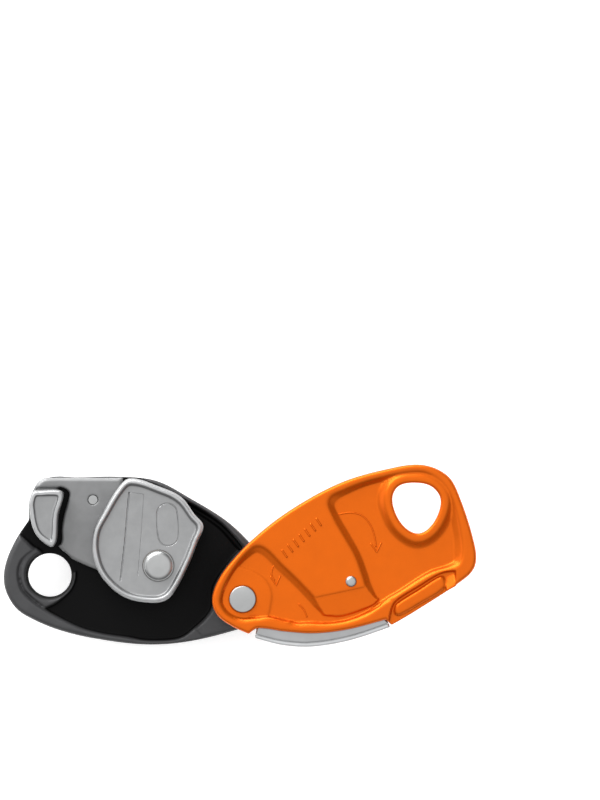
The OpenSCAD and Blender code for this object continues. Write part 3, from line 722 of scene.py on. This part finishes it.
# ---- Pivot rivet -----------------------------------------------------------------------------
# Turned steel rivet that holds the two side plates together, with a wide flat head in front
# and a low head behind.
pivot_rivet = turned("flat_pivot_rivet",
                     [(0, -1.4), (3.9, -1.4), (4.2, -1.1), (4.2, 0), (pivot_shank_r, 0),
                      (pivot_shank_r, 18.45), (4.3, 18.45), (4.4, 18.55), (4.4, 19.75),
                      (4.3, 19.93), (4.05, 20.03),
                      (0, 20.05)], (0, 0))
dressed(pivot_rivet, bright_steel, "frame", "rivet_steel", "pivot_rivet")


# ---- Cam axle --------------------------------------------------------------------------------
# Turned steel axle of the cam and the handle. Its front head has a wide chamfer, and a steel
# ring on its back end holds it.
axle_r = 3.8
cam_axle = turned("chamfered_cam_axle",
                  [(0, -8.8), (3.5, -8.8), (axle_r, -8.5), (axle_r, 13.9), (4.6, 13.9),
                   (4.75, 14.1), (4.75, 14.75), (4.6, 15.0), (3.75, 15.42), (3.4, 15.5),
                   (0, 15.5)], axle_place)
dressed(cam_axle, bright_steel, "frame", "rivet_steel", "cam_axle")


# ---- Handle ----------------------------------------------------------------------------------
# Black nylon lever moulded round a steel core, turning on the axle behind the fixed plate. Its
# hub is a wide disc, and grooves across its tip keep the thumb from slipping.
lever_outline = [[-24, 2, CORNER], [-14.5, 7.2], [-6, 8], [2, 6.9], [8.5, 6.2], [13.3, 8.4],
                 [12.3, 12.4], [4, 16.4], [-5.4, 24.9], [-15.5, 31.2], [-22, 34.2],
                 [-27, 32], [-33, 22, CORNER]]
core_outline = [[-24, 4], [-15.5, 9.6], [-6, 10.6], [1, 10.4], [2.5, 13], [-4, 18.4],
                [-13, 25.4], [-22, 28.6], [-29, 22]]
lever_window = [[-13, 12.5], [-4, 12.2], [-1.5, 13.2], [-6.5, 18.4], [-13, 23.2],
                [-16.5, 23], [-15, 16.5]]
hub_r = 12.5
back_low, back_high = -9, -0.5
core_seat = -2.7
tip_grooves = [[[5.2 + 1.9 * i, 9.3 - 0.2 * i, CORNER], [6.6 + 1.6 * i, 13.4 - 0.9 * i, CORNER]]
               for i in range(4)]
black_nylon = finish("black_nylon", (0.028, 0.028, 0.03), 0.5, metal=0, speck=0.0005, dent=0.25,
                     drift=0.15)


def moulded(outline, low, high, soft=0.9):
    """Plate with its lower edge rounded off."""
    return stepped(outline, (-soft, low), (-0.3 * soft, low + 0.3 * soft), (0, low + soft),
                   (0, high))


lever = forged(
    "moulded_handle", moulded(round_outline(axle_place, hub_r, 20), back_low, back_high),
    adds=[moulded(lever_outline, back_low, back_high)],
    last_cuts=[stepped(core_outline, (0.1, core_seat), (0.1, 2)),
               lathed(axle_place, (hub_r - 0.9, core_seat), (hub_r - 0.9, 2), count=20),
               stepped(lever_window, (0, -12), (0, -7.4), (-0.5, -7)),
               drilled(axle_place, axle_r + 0.05), drilled(axle_place, 6.5, high=-7.5)]
    + [wire(line, 0.55, back_low + 0.05) for line in tip_grooves],
    grain=0.4, eased=3)
dressed(lever, black_nylon, "handle", "black_nylon", "handle_lever")


# ---- Back cover ------------------------------------------------------------------------------
# Black nylon moulding under the near edge of the fixed plate, held by three screws. The mode
# knob sits in its well, and a row of short grooves is moulded beside it.
cover_outline = [[-51, -3.2], [-48.5, -9.2], [-33, -13.3], [-17, -12.4], [0, -9.2],
                 [6.8, -6.2], [8.6, 0.8], [2.5, 5.4], [-6.5, 5.4], [-12.5, 4.8], [-16, 3],
                 [-46, 3.4]]
screw_places = [[-45.5, -5.4], [-23.6, -8.4], [4.5, -4.6]]
cover_grooves = [[[-40.5 + 2.4 * i, -11.0, CORNER], [-40.5 + 2.4 * i, -5.2, CORNER]]
                 for i in range(5)]
screw_r, screw_head_r = 1.25, 2.3
knob_at = (-11.6, -5.2)
knob_r = 5.2
cover = forged(
    "moulded_back_cover", moulded(cover_outline, back_low, 0),
    cuts=[drilled(axle_place, hub_r + 0.8), stepped(lever_outline, (0.8, -20), (0.8, 20)),
          drilled(knob_at, knob_r + 0.2, high=-5.9), drilled(knob_at, 2.6),
          drilled((0, 0), 4.7, low=-1.9)]
    + [drilled(place, screw_head_r, high=-7.4) for place in screw_places]
    + [drilled(place, screw_r) for place in screw_places]
    + [wire(line, 0.5, back_low) for line in cover_grooves],
    grain=0.4, eased=3)
dressed(cover, black_nylon, "frame", "black_nylon", "back_cover")


# ---- Mode knob -------------------------------------------------------------------------------
# Grey nylon moulding in the back cover's well, which sets how firmly the cam is held open. It
# has a sunk face with a bar across it to turn it by, a short shaft, and a lobe beside the
# shaft's axis.
knob_low, knob_floor = -8.8, -7.8
shaft_r = 2.5
knob_lobe_at, knob_lobe_r = (knob_at[0] + 0.6, knob_at[1]), 1.7
knob_bar = capsule(knob_at, knob_r - 0.3, 1.1, 90)
knob = forged(
    "moulded_mode_knob",
    lathed(knob_at, (knob_r - 0.4, knob_low), (knob_r, knob_low + 0.4), (knob_r, -6), count=20),
    cuts=[lathed(knob_at, (knob_r - 0.9, -12), (knob_r - 0.9, knob_floor),
                 (knob_r - 1.3, knob_floor + 0.2), count=20)],
    adds=[stepped(knob_bar, (-0.3, knob_low), (0, knob_low + 0.3), (0, -7)),
          lathed(knob_at, (shaft_r, -6.5), (shaft_r, -1.9)),
          lathed(knob_lobe_at, (knob_lobe_r, -2.2), (knob_lobe_r, -0.6))],
    grain=0.2, eased=2)
grey_nylon = finish("grey_nylon", (0.5, 0.51, 0.52), 0.45, metal=0, speck=0.0005, dent=0.15)
dressed(knob, grey_nylon, "knob", "grey_nylon", "mode_knob")


# ---- Springs, pins, bushes and the pieces kept as they are -----------------------------------
# Small pieces turned, wound or pressed from steel and bronze, and one nylon washer and a cut
# steel core. They join or drive the larger ones, and need only their finish.
spring_wire = finish("spring_wire", (0.32, 0.32, 0.33), 0.35, speck=0.0003, dent=0.05)
bronze = finish("oiled_bronze", (0.42, 0.25, 0.1), 0.4, speck=0.0003, dent=0.12)
white_nylon = finish("white_nylon", (0.8, 0.79, 0.76), 0.5, metal=0, speck=0.0005, dent=0.1)
kept = {"guide_rivets": bright_steel, "cam_bush": bronze, "cam_washer": bright_steel,
        "cam_spring": spring_wire, "stop_pin": spring_wire, "pivot_bush": bronze,
        "pivot_washer": white_nylon, "handle_core": spring_wire, "handle_rivets": bright_steel,
        "drive_pin": spring_wire, "handle_spring": spring_wire, "axle_retainer": bright_steel,
        "cover_screws": spring_wire, "detent_ball": bright_steel, "detent_spring": spring_wire}
for node, paint in kept.items():
    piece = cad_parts[node]
    piece.data.materials.clear()
    piece.data.materials.append(paint)
